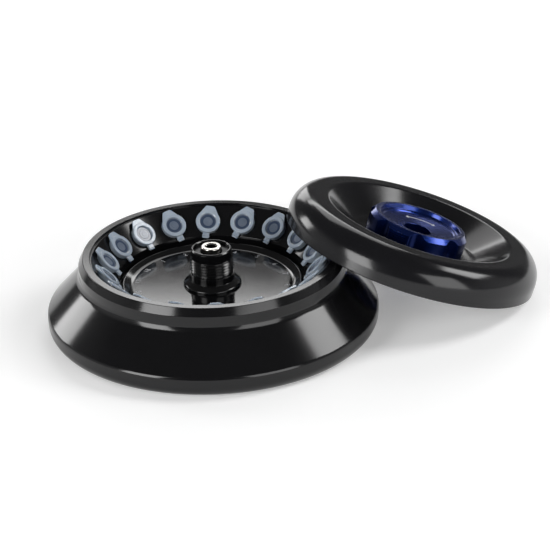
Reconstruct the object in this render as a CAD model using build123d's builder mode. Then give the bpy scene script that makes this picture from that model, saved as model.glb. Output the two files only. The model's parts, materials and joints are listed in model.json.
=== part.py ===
"""Fixed angle rotor for a small bench centrifuge, with its lid and screw cap taken off and 18 microtubes in it.

Frame: millimetres. The origin is where the rotor axis meets the plane that the rotor stands on, +Z is up the
rotor axis. The lid leans on the right side of the rotor, with its low edge on the same plane.
"""
import os
from math import acos, atan2, cos, hypot, radians, sin, sqrt, tan

from build123d import *

os.makedirs("parts", exist_ok=True)

# ---------------------------------------------------------------- driving dimensions (mm, degrees)
# rotor body, all heights above the standing plane
RIM_Z = 39.3            # top face of the rim
RIM_R = 66.0            # outer edge of the rim's top face
RIM_STEP_R = 62.3       # inner edge of the rim's top face
LEDGE_R = 61.57         # inner edge of the ledge just inside the rim
LEDGE_DROP = 1.44       # how far the ledge lies under the rim
COLLAR_R = 68.24        # vertical collar under the rim's bevel
COLLAR_DROP = 3.86      # height of that bevel
FLANK_DROP = 10.4       # where the flank would meet the collar without its cove
FLANK_ANGLE = 43.4      # flank, measured from the rotor axis
COVE_R = 6.0            # cove between collar and flank
SKIRT_R = 85.6          # widest radius
SHOULDER_R = 3.0        # round between flank and skirt
FOOT_ROUND_R = 6.0      # round between skirt and base
FLOOR_Z = 21.2          # flat bowl floor
FLOOR_R = 46.2          # outside of the crest round it
CREST_Z = 23.1          # top of that crest
CREST_W = 0.7           # its flat top
CREST_SLOPE = 3.4       # width of its inner side, which runs down to the floor
MOAT_R = 49.4           # outer radius of the groove outside the crest
MOAT_Z = 19.5           # bottom of that groove
RECESS_R = 66.0         # recess under the body
RECESS_Z = 15.4         # its ceiling
BOSS_R = 21.0           # boss round the hub, inside that recess
BOSS_Z = 7.5

# sample places
PLACES = 18
PLACE_3_AZ = 93.2       # azimuth of place number 3
TILT = 45.0             # tube axis against the rotor axis
WALL_S = 9.54           # from the ledge edge down the wall to a tube axis
BORE_R = 5.6
BORE_STRAIGHT = 19.0
BORE_DEPTH = 38.2
BORE_TIP_R = 2.35
SPOT_R = 6.8            # flat seat round each bore
SPOT_DEPTH = 0.35

# microtube, along its own axis
TUBE_R = 5.4
TUBE_WALL = 0.9
TUBE_STRAIGHT = 18.8
TUBE_LENGTH = 37.6
TUBE_TIP_R = 2.1
TUBE_TIP_CUT = 1.0      # slope on the tip's edge
FLANGE_R = 6.35
FLANGE_TOP = 0.95       # above the bowl wall
CAP_R = 6.5
CAP_TOP = 2.72          # above the bowl wall
CAP_WELL_R = 4.4
CAP_WELL_DEPTH = 1.0
PLUG_DEPTH = 0.85
PLUG_GAP = 0.13
LIP_REACH = 8.9         # thumb lip, from the tube axis
LIP_TIP_W = 4.6         # its sides run from here to the cap's edge as tangents
LIP_STEP = 0.4          # how far it lies under the cap's top and over its underside
LIP_BITE = 1.3          # how far its root reaches into the cap's edge
LIP_EDGE = 0.1          # its sides start this far inside the cap's edge
HINGE_X = 8.85          # folded strap, from the tube axis to the fold
HINGE_ROLL_R = 0.55
HINGE_W = 3.8
STRAP_T = 0.5
FOLD_GAP = 0.06
# how far each tube is turned in its bore, place 1 to 18
TWISTS = [2, 12, -12, -19, -8, -2, 3, 0, -2, 3, 1, -3, 2, -1, 2, -1, -6, -1]

# drive hub
HUB_TOP = 41.4
HUB_RIM_R = 10.43
THREAD_R = 11.1         # outside of the lid's thread, whose ridges are left out
THREAD_ROOT_R = 10.3
THREAD_TOP = 36.2
THREAD_END = 28.0
RUN_OUT = 1.0           # groove below the thread
HUB_NECK_R = 11.4
HUB_FOOT_R = 14.9
HUB_FOOT_EDGE = 1.3     # height of the foot's edge
HUB_FOOT_H = 3.3        # height of the whole foot
HUB_SHANK_R = 12.0
SEAT_GAP = 0.03         # radial clearance of pieces that are clamped together
DRIVE_BORE_R = 6.0      # takes the motor's shaft
DRIVE_BORE_DEPTH = 19.0
RELIEF_R = 4.2          # room above it for the screw's tip
WEB_TOP = 33.3          # web across the hub that the screw's head bears on
WEB_BOTTOM = 27.3
CUP_R = 9.05            # cup in the hub's top
CUP_STEP_R = 8.0
CUP_STEP_Z = 38.3
NUT_R = 19.0
NUT_T = 6.0

# tie-down screw
SCREW_TOP = 42.3
SCREW_HEAD_R = 5.15
SCREW_FLANGE_R = 7.4
SCREW_FLANGE_T = 1.4
SCREW_SHANK_R = 3.0
SCREW_FIT = 0.08
SCREW_TIP_Z = 19.5
HEX_AF = 5.0
HEX_DEPTH = 4.5
RING_T = 1.2
RING_HOLE_R = 5.6

# lid, heights from its flat top ring, down is negative
LID_H = 18.0
LID_R = 68.2
LID_TOP_R = 57.8        # outer edge of the flat top ring
LID_ROUND_H = 13.0
DISH_R = 50.4           # inner edge of the flat top ring
DISH_FLOOR_R = 34.0
DISH_FLOOR_H = -12.0
DISH_EDGE_R = 3.0
DISH_CORNER_R = 3.0
LID_SEAT_R = 62.0       # inner edge of the ring that sits on the rotor's rim
LID_FOOT_ROUND = 0.6
LID_UNDER_H = -16.0     # underside of the dish floor
LID_HOLE_R = 15.08
SEAL_IN_R = 63.4
SEAL_OUT_R = 65.2
SEAL_DEPTH = 1.3
SEAL_PROUD = 0.1
# how it leans: azimuth, and distance of the top ring's centre from the rotor axis
LEAN_AZ = 16.0
LEAN_D = 113.8
TOUCH_GAP = 0.02

# lid knob, in the lid's frame
KNOB_TOP = 0.3
KNOB_RIM_R = 24.3
KNOB_RIM_IN_R = 22.2
KNOB_LOBE_R = 26.7
KNOB_LOBES = 8
KNOB_PHASE = 15.0       # azimuth of one lobe in the lid's frame
KNOB_FLUTE_R = 6.0
KNOB_FLUTE_DEPTH = 2.2
KNOB_STEP_R = 19.4
KNOB_STEP_H = -2.3
KNOB_WELL_R = 8.6
KNOB_WELL_H = -4.4
KNOB_HOLE_R = 7.4
KNOB_SHANK_R = 15.0
KNOB_END = -27.0
KNOB_BORE_R = 10.6
KNOB_BORE_TOP = -11.0
KNOB_GROOVE_R = 13.9
CLIP_R = 18.0
CLIP_T = 1.2
CLIP_GAP = 0.05


# ---------------------------------------------------------------- helpers
def save(part, label):
    """Names a solid and writes it to parts/."""
    solid = part.part if hasattr(part, "part") else part
    solid.label = label
    export_step(solid, f"parts/{label}.step")
    print(label, round(solid.volume / 1000, 3), "cm3")


def turned(points):
    """A solid of revolution about Z from a closed outline of (radius, height) points."""
    with BuildPart() as p:
        with BuildSketch(Plane.XZ):
            with BuildLine():
                Polyline(*points, close=True)
            make_face()
        revolve(axis=Axis.Z)
    return p.part


# ---------------------------------------------------------------- places of the tubes
wall_low_z = RIM_Z - LEDGE_DROP - (LEDGE_R - MOAT_R) / tan(radians(TILT))
places = []
for number in range(1, PLACES + 1):
    az = radians(PLACE_3_AZ - 360 / PLACES * (number - 3))
    t = radians(TILT)
    up = (-sin(t) * cos(az), -sin(t) * sin(az), cos(t))            # out of the bore
    along = (cos(t) * cos(az), cos(t) * sin(az), sin(t))           # up the wall, towards the rim
    start = (LEDGE_R * cos(az), LEDGE_R * sin(az), RIM_Z - LEDGE_DROP)
    origin = tuple(s - a * WALL_S for s, a in zip(start, along))
    places.append(Plane(origin=origin, x_dir=along, z_dir=up))

# ---------------------------------------------------------------- rotor body
k = tan(radians(FLANK_ANGLE))                       # flank: radius gained per mm of drop
flank_z = RIM_Z - FLANK_DROP                        # flank meets the collar's line here
skirt_z = flank_z - (SKIRT_R - COLLAR_R) / k        # flank meets the skirt's line here
recess_in = RECESS_R - RECESS_Z * 0.75              # recess wall leans in, clear of the bores

bore = turned([
    (0, 3.0), (SPOT_R, 3.0), (SPOT_R, -SPOT_DEPTH), (BORE_R + 0.3, -SPOT_DEPTH), (BORE_R, -SPOT_DEPTH - 0.3),
    (BORE_R, -BORE_STRAIGHT), (BORE_TIP_R, -BORE_DEPTH + 0.9), (0, -BORE_DEPTH),
])

with BuildPart() as body:
    with BuildSketch(Plane.XZ) as section:
        with BuildLine():
            Polyline(
                (HUB_SHANK_R + SEAT_GAP, BOSS_Z), (BOSS_R, BOSS_Z), (BOSS_R, RECESS_Z), (recess_in, RECESS_Z),
                (RECESS_R - 1.0, RECESS_Z * 0.35), (RECESS_R, 0), (SKIRT_R, 0), (SKIRT_R, skirt_z),
                (COLLAR_R, flank_z), (COLLAR_R, RIM_Z - COLLAR_DROP), (RIM_R, RIM_Z), (RIM_STEP_R, RIM_Z),
                (RIM_STEP_R, RIM_Z - LEDGE_DROP), (LEDGE_R, RIM_Z - LEDGE_DROP), (MOAT_R, wall_low_z),
                (MOAT_R, MOAT_Z), (FLOOR_R, MOAT_Z), (FLOOR_R, CREST_Z), (FLOOR_R - CREST_W, CREST_Z),
                (FLOOR_R - CREST_W - CREST_SLOPE, FLOOR_Z), (HUB_SHANK_R + SEAT_GAP, FLOOR_Z), close=True,
            )
        make_face()
        for point, size in (
            ((SKIRT_R, 0), FOOT_ROUND_R), ((SKIRT_R, skirt_z), SHOULDER_R), ((COLLAR_R, flank_z), COVE_R),
            ((FLOOR_R - CREST_W - CREST_SLOPE, FLOOR_Z), 4.0),
        ):
            fillet(section.vertices().sort_by_distance((*point, 0))[0], size)
        for point, size in (
            ((FLOOR_R, CREST_Z), 0.25), ((RECESS_R, 0), 0.8), ((BOSS_R, BOSS_Z), 0.6), ((recess_in, RECESS_Z), 1.5),
            ((BOSS_R, RECESS_Z), 1.2),
        ):
            chamfer(section.vertices().sort_by_distance((*point, 0))[0], size)
    revolve(axis=Axis.Z)
    # the 18 angled bores, each with a flat seat for the tube's flange
    with Locations(*[p.location for p in places]):
        add(bore, mode=Mode.SUBTRACT)
save(body, "rotor_body")

# ---------------------------------------------------------------- microtubes
mouth_r = TUBE_R - TUBE_WALL
plug_r = mouth_r - PLUG_GAP
with BuildPart() as tube:
    with BuildSketch(Plane.XZ) as section:
        with BuildLine():
            Polyline(
                (0, -TUBE_LENGTH), (TUBE_TIP_R, -TUBE_LENGTH), (TUBE_R, -TUBE_STRAIGHT), (TUBE_R, -SPOT_DEPTH),
                (FLANGE_R, -SPOT_DEPTH), (FLANGE_R, FLANGE_TOP), (mouth_r, FLANGE_TOP),
                (mouth_r, -TUBE_STRAIGHT), (TUBE_TIP_R - TUBE_WALL, -TUBE_LENGTH + 1.6 * TUBE_WALL),
                (0, -TUBE_LENGTH + 1.2 * TUBE_WALL), close=True,
            )
        make_face()
        chamfer(section.vertices().sort_by_distance((TUBE_TIP_R, -TUBE_LENGTH, 0))[0], TUBE_TIP_CUT)
        chamfer(section.vertices().sort_by_distance((FLANGE_R, FLANGE_TOP, 0))[0], 0.15)
    revolve(axis=Axis.Z)
    # lower half of the folded strap, and the roll of the fold
    strap_in = FLANGE_R - 0.6
    with Locations((-(strap_in + HINGE_X) / 2, 0, FLANGE_TOP - HINGE_ROLL_R + STRAP_T / 2)):
        Box(HINGE_X - strap_in, HINGE_W, STRAP_T)
    with Locations(Location((-HINGE_X, 0, FLANGE_TOP), (90, 0, 0))):
        Cylinder(HINGE_ROLL_R, HINGE_W)

with BuildPart() as cap:
    well_z = CAP_TOP - CAP_WELL_DEPTH
    lip_r = CAP_R - LIP_EDGE
    with BuildSketch(Plane.XZ) as section:
        with BuildLine():
            Polyline(
                (0, well_z), (CAP_WELL_R, well_z), (CAP_WELL_R, CAP_TOP), (CAP_R, CAP_TOP), (CAP_R, FLANGE_TOP),
                (plug_r, FLANGE_TOP), (plug_r, FLANGE_TOP - PLUG_DEPTH), (plug_r - 0.8, FLANGE_TOP - PLUG_DEPTH),
                (plug_r - 0.8, well_z - 0.8), (0, well_z - 0.8), close=True,
            )
        make_face()
        chamfer(section.vertices().sort_by_distance((CAP_R, CAP_TOP, 0))[0], 0.35)
        chamfer(section.vertices().sort_by_distance((CAP_WELL_R, CAP_TOP, 0))[0], 0.3)
    revolve(axis=Axis.Z)
    # thumb lip on the rim side, whose sides touch the round of the cap
    tip = hypot(LIP_REACH, LIP_TIP_W / 2)
    touch = atan2(LIP_TIP_W / 2, LIP_REACH) + acos(lip_r / tip)
    with BuildSketch(Plane.XY.offset(FLANGE_TOP + LIP_STEP)):
        with BuildLine():
            Polyline(
                (CAP_R - LIP_BITE, LIP_TIP_W / 2), (lip_r * cos(touch), lip_r * sin(touch)),
                (LIP_REACH, LIP_TIP_W / 2), (LIP_REACH, -LIP_TIP_W / 2),
                (lip_r * cos(touch), -lip_r * sin(touch)), (CAP_R - LIP_BITE, -LIP_TIP_W / 2), close=True,
            )
        make_face()
    extrude(amount=CAP_TOP - FLANGE_TOP - 2 * LIP_STEP)
    # upper half of the folded strap, which stops just short of the roll
    strap_out = HINGE_X - HINGE_ROLL_R - FOLD_GAP
    with Locations((-(CAP_R - 0.6 + strap_out) / 2, 0, FLANGE_TOP + HINGE_ROLL_R - STRAP_T / 2)):
        Box(strap_out - CAP_R + 0.6, HINGE_W, STRAP_T)

for number, (place, twist) in enumerate(zip(places, TWISTS), 1):
    spot = place.location * Rotation(0, 0, twist)
    save(spot * tube.part, f"tube_{number:02d}")
    save(spot * cap.part, f"tube_cap_{number:02d}")

# ---------------------------------------------------------------- drive hub
with BuildPart() as hub:
    with BuildSketch(Plane.XZ) as section:
        with BuildLine():
            Polyline(
                (DRIVE_BORE_R, 0), (HUB_SHANK_R, 0), (HUB_SHANK_R, FLOOR_Z), (HUB_FOOT_R, FLOOR_Z),
                (HUB_FOOT_R, FLOOR_Z + HUB_FOOT_EDGE), (HUB_NECK_R, FLOOR_Z + HUB_FOOT_H),
                (HUB_NECK_R, THREAD_END), (THREAD_ROOT_R, THREAD_END), (THREAD_ROOT_R, THREAD_END + RUN_OUT),
                (THREAD_R, THREAD_END + RUN_OUT), (THREAD_R, THREAD_TOP), (HUB_RIM_R, THREAD_TOP),
                (HUB_RIM_R, HUB_TOP), (CUP_R, HUB_TOP), (CUP_R, CUP_STEP_Z), (CUP_STEP_R, CUP_STEP_Z),
                (CUP_STEP_R, WEB_TOP), (SCREW_SHANK_R + SCREW_FIT, WEB_TOP),
                (SCREW_SHANK_R + SCREW_FIT, WEB_BOTTOM), (RELIEF_R, WEB_BOTTOM), (RELIEF_R, DRIVE_BORE_DEPTH),
                (DRIVE_BORE_R, DRIVE_BORE_DEPTH), close=True,
            )
        make_face()
        fillet(section.vertices().sort_by_distance((HUB_FOOT_R, FLOOR_Z + HUB_FOOT_EDGE, 0))[0], 1.5)
        chamfer(section.vertices().sort_by_distance((HUB_NECK_R, FLOOR_Z + HUB_FOOT_H, 0))[0], 0.8)
        chamfer(section.vertices().sort_by_distance((THREAD_R, THREAD_TOP, 0))[0], 0.4)
        chamfer(section.vertices().sort_by_distance((HUB_RIM_R, HUB_TOP, 0))[0], 0.6)
        chamfer(section.vertices().sort_by_distance((CUP_R, HUB_TOP, 0))[0], 0.35)
        chamfer(section.vertices().sort_by_distance((HUB_SHANK_R, 0, 0))[0], 0.8)
    revolve(axis=Axis.Z)
save(hub, "drive_hub")

with BuildPart() as nut:
    with BuildSketch(Plane.XY.offset(BOSS_Z - NUT_T)):
        Circle(NUT_R)
        Circle(HUB_SHANK_R + SEAT_GAP, mode=Mode.SUBTRACT)
        with PolarLocations(NUT_R, 4):
            Rectangle(5.0, 5.0, mode=Mode.SUBTRACT)
    extrude(amount=NUT_T)
    chamfer(nut.edges().filter_by(GeomType.CIRCLE).sort_by(Axis.Z)[0:1], 0.4)
save(nut, "hub_lock_nut")

# ---------------------------------------------------------------- tie-down screw and its ring
head_z = WEB_TOP + SCREW_FLANGE_T
with BuildPart() as screw:
    with BuildSketch(Plane.XZ) as section:
        with BuildLine():
            Polyline(
                (0, SCREW_TIP_Z), (SCREW_SHANK_R, SCREW_TIP_Z), (SCREW_SHANK_R, WEB_TOP), (SCREW_FLANGE_R, WEB_TOP),
                (SCREW_FLANGE_R, head_z), (SCREW_HEAD_R, head_z), (SCREW_HEAD_R, SCREW_TOP), (0, SCREW_TOP),
                close=True,
            )
        make_face()
        chamfer(section.vertices().sort_by_distance((SCREW_SHANK_R, SCREW_TIP_Z, 0))[0], 0.8)
        chamfer(section.vertices().sort_by_distance((SCREW_HEAD_R, SCREW_TOP, 0))[0], 0.4)
    revolve(axis=Axis.Z)
    with BuildSketch(Plane.XY.offset(SCREW_TOP)):
        RegularPolygon(HEX_AF / 2, 6, major_radius=False)
    extrude(amount=-HEX_DEPTH, mode=Mode.SUBTRACT)
save(screw, "tie_down_screw")

save(turned([
    (RING_HOLE_R, CUP_STEP_Z), (CUP_R - SEAT_GAP, CUP_STEP_Z), (CUP_R - SEAT_GAP, CUP_STEP_Z + RING_T - 0.2),
    (CUP_R - SEAT_GAP - 0.2, CUP_STEP_Z + RING_T), (RING_HOLE_R + 0.3, CUP_STEP_Z + RING_T),
    (RING_HOLE_R, CUP_STEP_Z + RING_T - 0.3),
]), "screw_retaining_ring")

# ---------------------------------------------------------------- how the lid leans
# Its foot round touches the standing plane, and the inner edge of its seat ring lies across the outer edge
# of the rotor's rim at two points. The tilt that does both is found by halving.
def lid_height(tilt):
    """Height of the top ring's centre with the lid's foot on the standing plane."""
    return (LID_H - LID_FOOT_ROUND) * cos(tilt) + (LID_R - LID_FOOT_ROUND) * sin(tilt) + LID_FOOT_ROUND


def rim_in_lid(tilt, turn):
    """Radius and height, in the lid's frame, of the point of the rim's edge at that angle off the lean."""
    dx, dy, dz = RIM_R * cos(turn) - LEAN_D, RIM_R * sin(turn), RIM_Z - lid_height(tilt)
    h = dx * sin(tilt) + dz * cos(tilt)
    return sqrt(dx * dx + dy * dy + dz * dz - h * h), h


def seat_gap(tilt):
    """How far the rim's edge lies under the seat ring where it passes the ring's inner edge."""
    low, high = 0.0, radians(100)
    for _ in range(60):
        turn = (low + high) / 2
        low, high = (turn, high) if rim_in_lid(tilt, turn)[0] < LID_SEAT_R else (low, turn)
    return -LID_H - rim_in_lid(tilt, low)[1]


low, high = radians(8), radians(35)
for _ in range(60):
    tilt = (low + high) / 2
    low, high = (tilt, high) if seat_gap(tilt) < TOUCH_GAP else (low, tilt)
lean = radians(LEAN_AZ)
lid_n = (sin(tilt) * cos(lean), sin(tilt) * sin(lean), cos(tilt))
lid_c = (LEAN_D * cos(lean), LEAN_D * sin(lean), lid_height(tilt))
lid_plane = Plane(origin=lid_c, x_dir=(lid_n[2], 0, -lid_n[0]), z_dir=lid_n)
leaning = lid_plane.location
print("lid tilt", round(tilt * 57.29578, 3), "centre", [round(v, 3) for v in lid_c])

# ---------------------------------------------------------------- lid
with BuildPart() as lid:
    with BuildSketch(Plane.XZ) as section:
        with BuildLine():
            Polyline((LID_HOLE_R, DISH_FLOOR_H), (DISH_FLOOR_R, DISH_FLOOR_H), (DISH_R, 0), (LID_TOP_R, 0))
            Bezier(
                (LID_TOP_R, 0), (LID_TOP_R + 4.2, 0), (LID_R, -LID_ROUND_H * 0.36), (LID_R, -LID_ROUND_H)
            )
            Polyline(
                (LID_R, -LID_ROUND_H), (LID_R, -LID_H), (SEAL_OUT_R, -LID_H), (SEAL_OUT_R, -LID_H + SEAL_DEPTH),
                (SEAL_IN_R, -LID_H + SEAL_DEPTH), (SEAL_IN_R, -LID_H), (LID_SEAT_R, -LID_H),
                (LID_SEAT_R - 1.0, -10.0), (DISH_R + 3.6, -8.0), (DISH_FLOOR_R + 3.0, LID_UNDER_H),
                (LID_HOLE_R, LID_UNDER_H), (LID_HOLE_R, DISH_FLOOR_H),
            )
        make_face()
        for point, size in (
            ((DISH_R, 0), DISH_EDGE_R), ((DISH_FLOOR_R, DISH_FLOOR_H), DISH_CORNER_R),
            ((LID_R, -LID_H), LID_FOOT_ROUND), ((LID_SEAT_R - 1.0, -10.0), 1.0), ((DISH_R + 3.6, -8.0), 2.0),
        ):
            fillet(section.vertices().sort_by_distance((*point, 0))[0], size)
    revolve(axis=Axis.Z)
save(leaning * lid.part, "lid_shell")

save(leaning * turned([
    (SEAL_IN_R, -LID_H + SEAL_DEPTH), (SEAL_OUT_R, -LID_H + SEAL_DEPTH), (SEAL_OUT_R, -LID_H + 0.4),
    (SEAL_OUT_R - 0.5, -LID_H - SEAL_PROUD), (SEAL_IN_R + 0.5, -LID_H - SEAL_PROUD), (SEAL_IN_R, -LID_H + 0.4),
]), "lid_seal")

# ---------------------------------------------------------------- lid knob and its clip
clip_top = LID_UNDER_H - CLIP_GAP
with BuildPart() as knob:
    with BuildSketch(Plane.XZ) as section:
        with BuildLine():
            Polyline(
                (KNOB_HOLE_R, KNOB_WELL_H), (KNOB_WELL_R, KNOB_WELL_H), (KNOB_STEP_R, KNOB_STEP_H - 0.5),
                (KNOB_STEP_R + 0.5, KNOB_STEP_H), (KNOB_RIM_IN_R - 0.6, KNOB_STEP_H + 0.3),
                (KNOB_RIM_IN_R, KNOB_TOP), (KNOB_RIM_R, KNOB_TOP),
                (KNOB_LOBE_R, KNOB_TOP - KNOB_LOBE_R + KNOB_RIM_R), (KNOB_LOBE_R, DISH_FLOOR_H),
                (KNOB_SHANK_R, DISH_FLOOR_H), (KNOB_SHANK_R, clip_top), (KNOB_GROOVE_R, clip_top),
                (KNOB_GROOVE_R, clip_top - CLIP_T), (KNOB_SHANK_R, clip_top - CLIP_T), (KNOB_SHANK_R, KNOB_END),
                (KNOB_BORE_R, KNOB_END), (KNOB_BORE_R, KNOB_BORE_TOP), (KNOB_HOLE_R, KNOB_BORE_TOP), close=True,
            )
        make_face()
        chamfer(section.vertices().sort_by_distance((KNOB_RIM_IN_R, KNOB_TOP, 0))[0], 0.3)
        chamfer(section.vertices().sort_by_distance((KNOB_HOLE_R, KNOB_WELL_H, 0))[0], 0.4)
        chamfer(section.vertices().sort_by_distance((KNOB_BORE_R, KNOB_END, 0))[0], 0.9)
        chamfer(section.vertices().sort_by_distance((KNOB_SHANK_R, KNOB_END, 0))[0], 0.8)
    revolve(axis=Axis.Z)
    # the finger flutes between the lobes
    flute_at = KNOB_LOBE_R - KNOB_FLUTE_DEPTH + KNOB_FLUTE_R
    with BuildSketch(Plane.XY.offset(DISH_FLOOR_H)):
        with PolarLocations(flute_at, KNOB_LOBES, start_angle=KNOB_PHASE + 180 / KNOB_LOBES):
            Circle(KNOB_FLUTE_R)
    extrude(amount=KNOB_TOP - DISH_FLOOR_H + 1.0, mode=Mode.SUBTRACT)
save(leaning * knob.part, "lid_knob")

with BuildPart() as clip:
    with BuildSketch(Plane.XY.offset(clip_top - CLIP_T)):
        Circle(CLIP_R)
        Circle(KNOB_GROOVE_R + SEAT_GAP, mode=Mode.SUBTRACT)
        with Locations((CLIP_R, 0)):
            Rectangle(2 * CLIP_R - KNOB_GROOVE_R, 7.0, mode=Mode.SUBTRACT)
    extrude(amount=CLIP_T)
save(leaning * clip.part, "knob_clip")
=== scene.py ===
# %% [markdown]
# # A fixed angle rotor with its lid off
# The object is a rotor of a small bench centrifuge: a turned aluminium body, black anodised, with 18
# microtubes in slanted bores. Its lid leans on it, with a blue knob in the lid's dish. In this lesson nearly
# every piece is a surface of revolution, because nearly every piece was made on a lathe. We write an outline,
# round its corners as a turning tool leaves them, and sweep it round an axis with numpy.
#
# The CAD model comes first. It gives the bodies that move, and the nodes that our finer surfaces stand for.

# %% load the frame
import json
import math

import bpy
import numpy as np
from mathutils import Matrix, Vector

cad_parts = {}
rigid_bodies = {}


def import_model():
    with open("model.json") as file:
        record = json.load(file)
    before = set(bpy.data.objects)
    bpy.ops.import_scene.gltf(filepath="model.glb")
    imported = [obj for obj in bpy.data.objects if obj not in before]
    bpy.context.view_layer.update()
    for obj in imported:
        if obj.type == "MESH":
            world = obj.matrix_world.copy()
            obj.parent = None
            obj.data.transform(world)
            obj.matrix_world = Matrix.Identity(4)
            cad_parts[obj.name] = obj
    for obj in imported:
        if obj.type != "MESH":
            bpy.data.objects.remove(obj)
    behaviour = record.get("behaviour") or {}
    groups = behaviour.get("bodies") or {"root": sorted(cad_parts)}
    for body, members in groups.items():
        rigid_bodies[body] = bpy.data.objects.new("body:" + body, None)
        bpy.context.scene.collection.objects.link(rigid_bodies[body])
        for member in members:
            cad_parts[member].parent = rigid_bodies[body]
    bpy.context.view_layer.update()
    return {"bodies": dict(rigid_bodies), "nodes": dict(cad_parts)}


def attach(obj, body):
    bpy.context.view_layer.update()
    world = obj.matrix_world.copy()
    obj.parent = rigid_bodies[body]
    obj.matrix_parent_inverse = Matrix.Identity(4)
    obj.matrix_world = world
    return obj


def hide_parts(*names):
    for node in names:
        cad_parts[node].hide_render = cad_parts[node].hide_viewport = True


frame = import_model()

# %% [markdown]
# ## Sizes
# All sizes are in millimetres, as on a workshop drawing, and become metres only where a mesh is made. They are
# the real sizes of the rotor, its tubes and its lid. Heights of the rotor are measured from the plane that it
# stands on, heights of the lid from its flat top ring.

# %% the rotor's main sizes
MM = 0.001
RIM_Z, RIM_R, RIM_STEP_R = 39.3, 66.0, 62.3      # top face of the rim, and its two edges
LEDGE_R, LEDGE_DROP = 61.57, 1.44                # the ledge just inside the rim
COLLAR_R, COLLAR_DROP = 68.24, 3.86              # the collar under the rim's bevel
FLANK_DROP, FLANK_ANGLE = 10.4, 43.4             # where the flank starts, and its angle from the axis
SKIRT_R, FOOT_ROUND_R, SHOULDER_R, COVE_R = 85.6, 6.0, 3.0, 6.0
FLOOR_Z, FLOOR_R = 21.2, 46.2                    # the bowl's floor, and the outside of the crest round it
CREST_Z, CREST_W, CREST_SLOPE = 23.1, 0.7, 3.4   # the crest's top, and its inner side down to the floor
MOAT_R, MOAT_Z = 49.4, 19.5                      # the groove outside the crest
RECESS_R, RECESS_Z, BOSS_R, BOSS_Z = 66.0, 15.4, 21.0, 7.5
HUB_SHANK_R, SEAT_GAP = 12.0, 0.03

PLACES, PLACE_3_AZ = 18, 93.2                    # bores, and the azimuth of place number 3
WALL_S = 9.54                                    # from the ledge's edge down the wall to a bore's axis
BORE_R, BORE_STRAIGHT, BORE_DEPTH, BORE_TIP_R = 5.6, 19.0, 38.2, 2.35
SPOT_R, SPOT_DEPTH = 6.8, 0.35                   # flat seat round each bore
TWISTS = [2, 12, -12, -19, -8, -2, 3, 0, -2, 3, 1, -3, 2, -1, 2, -1, -6, -1]   # turn of each tube, degrees

# %% [markdown]
# ## Surfaces from grids
# A grid of points, rows by columns, is the simplest surface: four neighbours make a face. A subdivided
# primitive would need its edges rounded afterwards, and a modifier can't know that a cone is meant to be a
# cone. Here the formula knows. The shading normal at a grid point is the cross product of the two directions
# along the grid, so a polished cone reflects as a cone and not as a row of strips.

# %% a grid of points becomes vertices, faces and normals
def grid(points, ring=True, flip=False, normals=None, tag=0):
    """One patch of a surface. points has the shape (rows, columns, 3), in millimetres.

    ring says that the last column joins the first. The normal is d(point)/d(column) x d(point)/d(row), where
    each direction is the difference of the neighbours, of second order at open ends.
    """
    p = np.asarray(points, float)
    rows, columns = p.shape[:2]
    along = np.gradient(p, axis=0, edge_order=2 if rows > 2 else 1)
    if ring:
        across = (np.roll(p, -1, 1) - np.roll(p, 1, 1)) / 2
    else:
        across = np.gradient(p, axis=1, edge_order=2 if columns > 2 else 1)
    if normals is None:
        normals = np.cross(across, along) * (-1 if flip else 1)
    size = np.linalg.norm(normals, axis=2, keepdims=True)
    good = size[..., 0] > 1e-9 * size.max()
    normals = np.where(good[..., None], normals / np.maximum(size, 1e-30), 0)
    for row in range(rows):                       # a pole has no direction of its own: it takes the next row's
        if not good[row].all():
            beside = min(row + 1, rows - 1) if row == 0 else row - 1
            mean = normals[beside].mean(0)
            normals[row][~good[row]] = mean / max(np.linalg.norm(mean), 1e-9)
    here = np.arange(rows * columns).reshape(rows, columns)
    a, b = (here, np.roll(here, -1, 1)) if ring else (here[:, :-1], here[:, 1:])
    quads = np.stack([a[:-1], b[:-1], b[1:], a[1:]], -1).reshape(-1, 4)
    if flip:
        quads = quads[:, ::-1]
    return {"v": p.reshape(-1, 3), "n": normals.reshape(-1, 3), "f": quads, "tag": tag}


def moved(patches, place):
    """The same patches after a rigid move. place is a 4 x 4 matrix in millimetres."""
    turn = place[:3, :3]
    return [{**p, "v": p["v"] @ turn.T + place[:3, 3], "n": p["n"] @ turn.T} for p in patches]


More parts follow.
